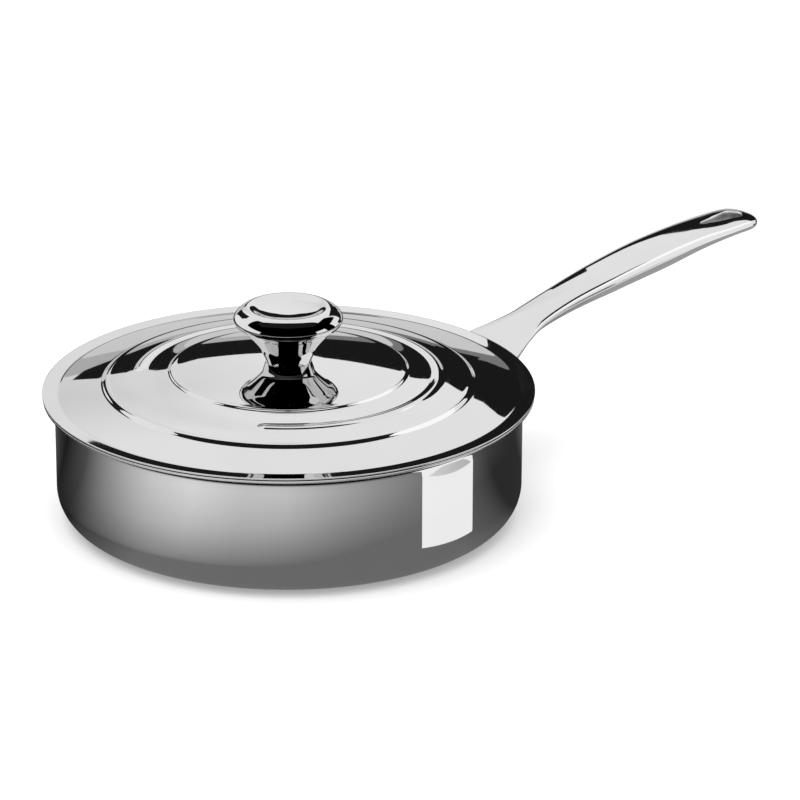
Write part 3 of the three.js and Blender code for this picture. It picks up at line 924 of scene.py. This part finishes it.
class SAUTE_OT_knob_fasteners(bpy.types.Operator):
    """Builds the washer and the socket-head screw that hold the knob."""

    bl_idname = "saute.knob_fasteners"
    bl_label = "Knob screw and washer"

    def execute(self, context):
        pan = group(context, "pan")
        lid = group(context, "lid")
        k = group(context, "knob")
        f = group(context, "finishes")
        # Rolled and pickled stainless steel: plain grey with a short, soft shine.
        material = buffed_metal(
            "stainless_steel_fastener_plain", f.satin, f.satin_deep, (0.25, 0.4), 0.5, (1, 0, 0, 1), 0.002
        )
        seat = knob_seat_height(pan, lid)
        top = seat - lid.sheet
        under = top - k.washer_thickness
        inside, outside = lid.hole_radius, k.washer_radius
        ring = [(inside, under), (outside, under), (outside, top), (inside, top)]
        washer = turned(closed(rounded(ring, RING_CORNER)), SMALL_SEGMENTS)
        add_piece("knob_washer_ring", [washer], material, "lid", ["knob_washer"])
        face = under - k.screw_head_height
        shank = lid.hole_radius - k.bore_clearance
        tip = seat + k.bore_depth - k.screw_end_gap
        socket = k.socket_width / 2
        bow = np.linspace(0, np.pi / 2, 11)
        brow = BROW * k.screw_head_height
        crown = k.screw_head_radius - brow
        profile = np.concatenate(
            [
                [(0, face + k.socket_depth), (socket, face + k.socket_depth), (socket, face)],
                line((socket + SOCKET_LAND, face), (crown, face), 4),
                np.stack([crown + brow * np.sin(bow), face + brow * (1 - np.cos(bow))], -1),
                [(k.screw_head_radius, under), (shank, under), (shank, tip - SCREW_CHAMFER)],
                [(shank - SCREW_CHAMFER, tip), (0, tip)],
            ]
        )
        screw = turned(profile, SMALL_SEGMENTS * 3)
        a = np.linspace(0, 2 * np.pi, screw.shape[1])
        six_sided = math.cos(np.pi / 6) / np.cos((a + np.pi / 6) % (np.pi / 3) - np.pi / 6)
        screw[1:3, :, :2] *= six_sided[:, None]
        add_piece("knob_screw_turned", [screw], material, "lid_lifter", ["knob_screw"])
        return {"FINISHED"}


# Stage

CAMERA_ELEVATION = math.radians(20.9)
CAMERA_BEARING = math.radians(-38.5)  # at 0 the handle points straight to the right
CAMERA_PLACE = (-1.9270, -2.5161, 1.2729)
CAMERA_LENS = 291.5  # millimetres, as the sensor's width is
CAMERA_SENSOR = 36
CAMERA_FAR = 40
CAMERA_RIGHT = np.array((math.cos(CAMERA_BEARING), math.sin(CAMERA_BEARING), 0))
CAMERA_BACK = np.array((-math.sin(CAMERA_BEARING), math.cos(CAMERA_BEARING), 0))
LAMP_PLACE = (-0.6, -0.2, 2.4)
LAMP_TILT = math.radians(-14)
LAMP_SIDE = 3
LAMP_WATTS = 60
FLOOR_HALF = 8  # half sides of the floor and of the mirrored table, which lie a little under the base
FLOOR_DROP = 0.3 * MM
FLOOR_LIFT = 0.25  # share of plain white that keeps the floor pale where it is seen
TABLE_HALF = 3
TABLE_DROP = 0.5 * MM
WHITE = (1, 1, 1, 1)
BLACK_CARD = 0.012  # brightness of black cloth
FIRST_MIRRORING = 1.5  # ray depth over which a card is seen mirrored twice or more

# Brightness of the table round the pan, far from it and near it. Places are shares of a full turn:
# 0 and 1 are behind the pan, 0.25 is its left, 0.5 its front and 0.75 its right.
TABLE_FAR = (
    *((0.0, 0.3), (0.08, 0.25), (0.14, 0.04), (0.2, 0.012), (0.25, 0.1), (0.3, 0.43), (0.35, 0.76)),
    *((0.4, 0.91), (0.45, 0.77), (0.5, 0.76), (0.55, 0.58), (0.65, 0.28), (0.76, 0.1), (0.8, 0.04)),
    *((0.85, 0.04), (0.93, 0.3)),
)
TABLE_NEAR = (
    *((0.0, 0.2), (0.12, 0.18), (0.2, 0.02), (0.27, 0.02), (0.33, 0.1), (0.375, 0.19), (0.65, 0.18)),
    *((0.72, 0.09), (0.75, 0.03), (0.82, 0.03), (0.9, 0.2)),
)
# How the near tone gives way to the far one, from where the pan's shade is deepest to where it ends.
TABLE_BLEND = ((0.0, 0.0), (0.25, 0.3), (0.5, 0.62), (0.75, 0.84), (1.0, 1.0))
SHADE = {"From Min": 0.17, "From Max": 0.285}  # metres from the middle of the pan's shade
SHADE_MIDDLE = (0.035, 0, 0)
TABLE_FADE = {"From Min": 0.36, "From Max": 0.6, "To Min": 1.0, "To Max": 0.06}

# Cards that stand behind the pan: millimetres to the back, an outline in millimetres to the right and up,
# and a brightness, one for all corners or one each.
BACK_CARDS = {
    "grey_foot": (910, [(-540, 0), (1500, 0), (1500, 205), (-540, 205)], 0.7),
    "left_grey": (910, [(-540, 205), (0, 205), (0, 300), (-540, 300)], 0.5),
    "right_grey": (910, [(0, 205), (450, 205), (450, 300), (0, 300)], 0.22),
    "left_dim": (920, [(-420, 300), (0, 300), (0, 820), (-420, 820)], (0.7, 1, 1, 1)),
    "black_flag": (
        900,
        [
            *((-285, 325), (-260, 285), (-210, 250), (-140, 240), (140, 240), (210, 250), (260, 285)),
            *((400, 120), (720, 120), (720, 900), (450, 680), (300, 555), (265, 505), (225, 480)),
            *((175, 445), (110, 425), (35, 400), (0, 365), (-145, 360), (-170, 375), (-210, 380)),
            (-260, 355),
        ],
        BLACK_CARD,
    ),
    "near_flag": (300, [(97, 120), (130, 120), (130, 190), (97, 181)], BLACK_CARD),
    "left_flag": (
        900,
        [
            *((-375, 300), (-460, 130), (-700, 420), (-1000, 700)),
            *((-1000, 1000), (-700, 1000), (-580, 720), (-500, 530)),
        ],
        BLACK_CARD,
    ),
}
# Level cards: millimetres up, an outline in millimetres to the right and to the back, and a brightness.
LEVEL_CARDS = {
    "black_canopy": (
        1000,
        [
            *((-700, -100), (0, -330), (700, -100), (700, 230)),
            *((400, 240), (0, 140), (-400, 240), (-700, 230)),
        ],
        BLACK_CARD,
    ),
    "right_floor": (1, [(258, -200), (560, -200), (560, 450), (258, 450)], 0.42),
    "handle_floor": (1, [(185, 112), (258, 112), (258, 450), (185, 450)], 0.42),
}
# Bright cards that stand on the right and are dark for the knob: an outline in millimetres to the back
# and up, and a brightness.
STRIP_RIGHT = 560
STRIP_CARDS = {
    "right_strip": ([(-40, 0), (205, 0), (205, 470), (-40, 470)], 1.05),
    "strip_head": ([(-200, 400), (600, 480), (600, 900), (-200, 900)], 1.3),
}
TIP_FLAG = [(560, 420, 0), (720, 900, 0), (720, 900, 260), (560, 420, 260)]
# White walls and a ceiling, far off. The lid sees them by clear cards just inside them, and the knob sees
# those in front black.
FRONT_WALLS = {
    "front_wall": [(-2600, -1500, 0), (2800, -1500, 0), (2800, -1500, 1600), (-2600, -1500, 1600)],
    "front_ceiling": [
        *((-2600, -1500, 1600), (2800, -1500, 1600), (2800, 343, 1600)),
        *((-700, 343, 1600), (-900, 700, 1600), (-2600, 700, 1600)),
    ],
}
SIDE_WALLS = {
    "left_wall": [(-2600, -1500, 0), (-2600, 900, 0), (-2600, 900, 1300), (-2600, -1500, 1300)],
    "right_wall": [(2800, -250, 0), (2800, 1500, 0), (2800, 1500, 1300), (2800, -250, 1300)],
}
BEFORE_WALL = 0.99  # share of a wall's distance at which its clear card for the lid hangs

# The bright strip on the floor that the pan's wall mirrors: bearings of its two sides on the wall in
# degrees, from the camera towards the right, distances of its rows from the wall and its depth under the
# base in millimetres, and each row's brightness by corner.
STRIP_BEARINGS = (34.8, 51.7)
STRIP_ROWS = (47, 148, 190)
STRIP_GLOW = ((1.15, 1.15, 1.15, 1.15), (0.9, 0.55, 0.4, 0.5))
STRIP_WALL = 122.4  # radius at the middle of the wall that mirrors it
STRIP_DROP = 0.4


class SAUTE_OT_stage(bpy.types.Operator):
    """Builds the camera, the floor, the light and what the polished metal mirrors."""

    bl_idname = "saute.stage"
    bl_label = "Stage"

    def execute(self, context):
        scene = context.scene
        scene.view_settings.view_transform = "Standard"
        self.camera(scene)
        self.world(scene)
        self.lamp(scene)
        self.floor(context)
        self.table(scene)
        self.floor_strip(scene)
        self.cards(scene)
        return {"FINISHED"}

    def camera(self, scene):
        """The photograph's camera: far away, with a long lens."""
        data = bpy.data.cameras.new("camera")
        data.lens = CAMERA_LENS
        data.sensor_width = CAMERA_SENSOR
        data.clip_end = CAMERA_FAR
        camera = bpy.data.objects.new("camera", data)
        camera.location = CAMERA_PLACE
        camera.rotation_euler = (math.pi / 2 - CAMERA_ELEVATION, 0, CAMERA_BEARING)
        scene.collection.objects.link(camera)
        scene.camera = camera

    def world(self, scene):
        """A plain white room, which gives the soft light."""
        world = bpy.data.worlds.new("studio")
        world.use_nodes = True
        scene.world = world
        tree = world.node_tree
        tree.nodes.clear()
        light = put(tree, "ShaderNodeBackground", {"Color": WHITE, "Strength": 1.0})
        put(tree, "ShaderNodeOutputWorld", {"Surface": light.outputs[0]})

    def lamp(self, scene):
        """A large soft lamp overhead, which reflections don't see."""
        light = bpy.data.lights.new("softbox", "AREA")
        light.shape = "RECTANGLE"
        light.size = LAMP_SIDE
        light.size_y = LAMP_SIDE
        light.energy = LAMP_WATTS
        box = bpy.data.objects.new("softbox", light)
        box.location = LAMP_PLACE
        box.rotation_euler = (0, LAMP_TILT, 0)
        box.visible_glossy = False
        scene.collection.objects.link(box)

    def sheet(self, scene, name, points, material):
        """A flat stage piece with the given corners."""
        mesh = bpy.data.meshes.new(name)
        mesh.from_pydata(points, [], [tuple(range(len(points)))])
        mesh.materials.append(material)
        piece = bpy.data.objects.new(name, mesh)
        scene.collection.objects.link(piece)
        return piece

    def only_mirrored(self, card):
        """Hides a card from everything but reflections."""
        card.visible_camera = False
        card.visible_diffuse = False
        card.visible_shadow = False
        card.visible_transmission = False

    def card(self, scene, name, corners, strength, unlit=(), only=None):
        """A flat studio card that only reflections see. Its corners are millimetres to the right, to the
        back and up, as the camera looks, and its brightness is one number or one for each corner. The
        pieces in unlit see the card black. A card with a piece in only is clear, and lights that piece
        alone, and only in what the camera sees mirrored directly."""
        u, v, w = np.array(corners).T[:, :, None] * MM
        material = blank_material(name)
        tree = material.node_tree
        if only:
            depth = put(tree, "ShaderNodeLightPath").outputs["Ray Depth"]
            once = {0: depth, 1: FIRST_MIRRORING}
            level = put(tree, "ShaderNodeMath", once, operation="LESS_THAN").outputs[0]
        else:
            level = put(tree, "ShaderNodeAttribute", attribute_name="glow").outputs["Fac"]
        surface = put(tree, "ShaderNodeEmission", {"Color": WHITE, "Strength": level}).outputs[0]
        if only:
            clear = put(tree, "ShaderNodeBsdfTransparent").outputs[0]
            surface = put(tree, "ShaderNodeAddShader", {0: surface, 1: clear}).outputs[0]
        put(tree, "ShaderNodeOutputMaterial", {"Surface": surface})
        points = u * CAMERA_RIGHT + v * CAMERA_BACK + w * (0, 0, 1)
        card = self.sheet(scene, name, points.tolist(), material)
        glow = card.data.attributes.new("glow", "FLOAT", "POINT")
        glow.data.foreach_set("value", np.broadcast_to(strength, len(corners)).astype(np.float32))
        self.only_mirrored(card)
        linked = [only] if only else unlit
        if linked:
            receivers = bpy.data.collections.new(f"{name}_receivers")
            for piece in linked:
                receivers.objects.link(piece)
            for entry in receivers.collection_objects:
                entry.light_linking.link_state = "INCLUDE" if only else "EXCLUDE"
            card.light_linking.receiver_collection = receivers

    def cards(self, scene):
        """What the metal mirrors in the white room: a black flag behind the pan that rises to the right,
        with a grey foot and a dim left, flags on the left, by the lid's right edge and by the handle's
        tip, a black canopy overhead and a bright strip on the right. The knob sees the strip and the
        room's front black, and mirrors a lid that sees the room's front and sides black."""
        knob, lid = bpy.data.objects["lid_knob_turned"], bpy.data.objects["lid_pressing"]
        for name, (v, outline, glow) in BACK_CARDS.items():
            self.card(scene, name, [(u, v, w) for u, w in outline], glow)
        self.card(scene, "tip_flag", TIP_FLAG, BLACK_CARD)
        for walls, unlit in ((FRONT_WALLS, (knob, lid)), (SIDE_WALLS, (lid,))):
            for name, wall in walls.items():
                self.card(scene, name, wall, 1, unlit)
                self.card(scene, f"{name}_for_lid", np.array(wall) * BEFORE_WALL, 1, only=lid)
        for name, (w, outline, glow) in LEVEL_CARDS.items():
            self.card(scene, name, [(u, v, w) for u, v in outline], glow)
        for name, (outline, glow) in STRIP_CARDS.items():
            self.card(scene, name, [(STRIP_RIGHT, v, w) for v, w in outline], glow, (knob,))

    def square(self, half, height):
        """Corners of a level square round the pan's axis."""
        return [(-half, -half, height), (half, -half, height), (half, half, height), (-half, half, height)]

    def floor(self, context):
        """A pale floor that keeps the pan's soft shadow."""
        material = blank_material("pale_studio_floor")
        tree = material.node_tree
        white = put(tree, "ShaderNodeBsdfDiffuse", {"Color": tuple(group(context, "finishes").floor)})
        path = put(tree, "ShaderNodeLightPath").outputs
        seen = {0: path["Is Camera Ray"], 1: path["Is Glossy Ray"]}
        seen = {0: put(tree, "ShaderNodeMath", seen).outputs[0], 1: path["Is Transmission Ray"]}
        strength = put(tree, "ShaderNodeMath", seen, use_clamp=True).outputs[0]
        lift = put(tree, "ShaderNodeEmission", {"Color": WHITE, "Strength": strength})
        both = {0: FLOOR_LIFT, 1: white.outputs[0], 2: lift.outputs[0]}
        lifted = put(tree, "ShaderNodeMixShader", both)
        put(tree, "ShaderNodeOutputMaterial", {"Surface": lifted.outputs[0]})
        floor = self.sheet(context.scene, "floor", self.square(FLOOR_HALF, -FLOOR_DROP), material)
        floor.visible_glossy = False

    def table(self, scene):
        """The table that the metal mirrors: brightest at the front left, darkest at the back left and the
        back right, and in front darker close to the pan, which shades it. Only reflections see it."""
        material = blank_material("mirrored_table")
        tree = material.node_tree
        place = put(tree, "ShaderNodeTexCoord").outputs["Object"]
        turning = {"Vector": place, "Axis": (0, 0, 1), "Angle": -CAMERA_BEARING}
        turned_place = put(tree, "ShaderNodeVectorRotate", turning, rotation_type="AXIS_ANGLE").outputs[0]
        axes = put(tree, "ShaderNodeSeparateXYZ", {0: turned_place}).outputs
        forward = put(tree, "ShaderNodeMath", {0: axes[1], 1: -1.0}, operation="MULTIPLY").outputs[0]
        bearing = put(tree, "ShaderNodeMath", {0: axes[0], 1: forward}, operation="ARCTAN2").outputs[0]
        full_turn = {"Value": bearing, "From Min": -math.pi, "From Max": math.pi}
        share = put(tree, "ShaderNodeMapRange", full_turn).outputs["Result"]
        far = put(tree, "ShaderNodeValToRGB", {"Fac": share}, TABLE_FAR).outputs["Color"]
        near = put(tree, "ShaderNodeValToRGB", {"Fac": share}, TABLE_NEAR).outputs["Color"]
        offset = {0: turned_place, 1: SHADE_MIDDLE}
        shifted = put(tree, "ShaderNodeVectorMath", offset, operation="SUBTRACT").outputs[0]
        distance = put(tree, "ShaderNodeVectorMath", {0: shifted}, operation="LENGTH").outputs["Value"]
        outward = put(tree, "ShaderNodeMapRange", {"Value": distance, **SHADE}).outputs["Result"]
        blend = put(tree, "ShaderNodeValToRGB", {"Fac": outward}, TABLE_BLEND).outputs["Color"]
        tone = put(tree, "ShaderNodeMix", {"Factor": blend, 6: near, 7: far}, data_type="RGBA").outputs[2]
        fade = put(tree, "ShaderNodeMapRange", {"Value": distance, **TABLE_FADE}).outputs["Result"]
        glow = put(tree, "ShaderNodeEmission", {"Color": tone, "Strength": fade})
        put(tree, "ShaderNodeOutputMaterial", {"Surface": glow.outputs[0]})
        table = self.sheet(scene, "mirrored_table", self.square(TABLE_HALF, -TABLE_DROP), material)
        self.only_mirrored(table)

    def floor_strip(self, scene):
        """A bright strip on the floor that the wall mirrors with straight sides: from the wall's point at
        bearing b it runs outwards at bearing 2 b, as the reflected ray does."""
        b, away = np.meshgrid(np.radians(STRIP_BEARINGS), STRIP_ROWS)
        u = STRIP_WALL * np.sin(b) + away * np.sin(2 * b)
        v = -STRIP_WALL * np.cos(b) - away * np.cos(2 * b)
        rows = np.stack([u, v, 0 * u - STRIP_DROP], -1)
        for row, glow in enumerate(STRIP_GLOW):
            self.card(scene, f"floor_strip_{row}", [*rows[row], *rows[row + 1][::-1]], glow)


class SAUTE_PT_panel(bpy.types.Panel):
    """Lists the sizes, the colours and the steps."""

    bl_label = "Saute pan"
    bl_idname = "SAUTE_PT_panel"
    bl_space_type = "VIEW_3D"
    bl_region_type = "UI"
    bl_category = "Saute pan"

    def draw(self, context):
        for step in STEPS:
            self.layout.operator(step.bl_idname)
        for name, kind in GROUPS.items():
            box = self.layout.box()
            box.label(text=kind.__doc__)
            for key in kind.__annotations__:
                box.prop(group(context, name), key)


GROUPS = {
    "pan": PanSizes,
    "handle": HandleSizes,
    "lid": LidSizes,
    "knob": KnobSizes,
    "finishes": Finishes,
}
STEPS = (
    SAUTE_OT_pan,
    SAUTE_OT_handle,
    SAUTE_OT_rivets,
    SAUTE_OT_lid,
    SAUTE_OT_knob,
    SAUTE_OT_knob_fasteners,
    SAUTE_OT_stage,
)


def register():
    """Adds the classes and the scene's property groups."""
    for kind in (*GROUPS.values(), *STEPS, SAUTE_PT_panel):
        bpy.utils.register_class(kind)
    for name, kind in GROUPS.items():
        setattr(bpy.types.Scene, f"saute_{name}", PointerProperty(type=kind))


def unregister():
    """Takes away what register added."""
    for name in GROUPS:
        delattr(bpy.types.Scene, f"saute_{name}")
    for kind in reversed((*GROUPS.values(), *STEPS, SAUTE_PT_panel)):
        bpy.utils.unregister_class(kind)


def main():
    """Builds the scene."""
    register()
    bpy.ops.saute.pan()
    bpy.ops.saute.handle()
    bpy.ops.saute.rivets()
    bpy.ops.saute.lid()
    bpy.ops.saute.knob()
    bpy.ops.saute.knob_fasteners()
    bpy.ops.saute.stage()


if __name__ == "__main__":
    main()
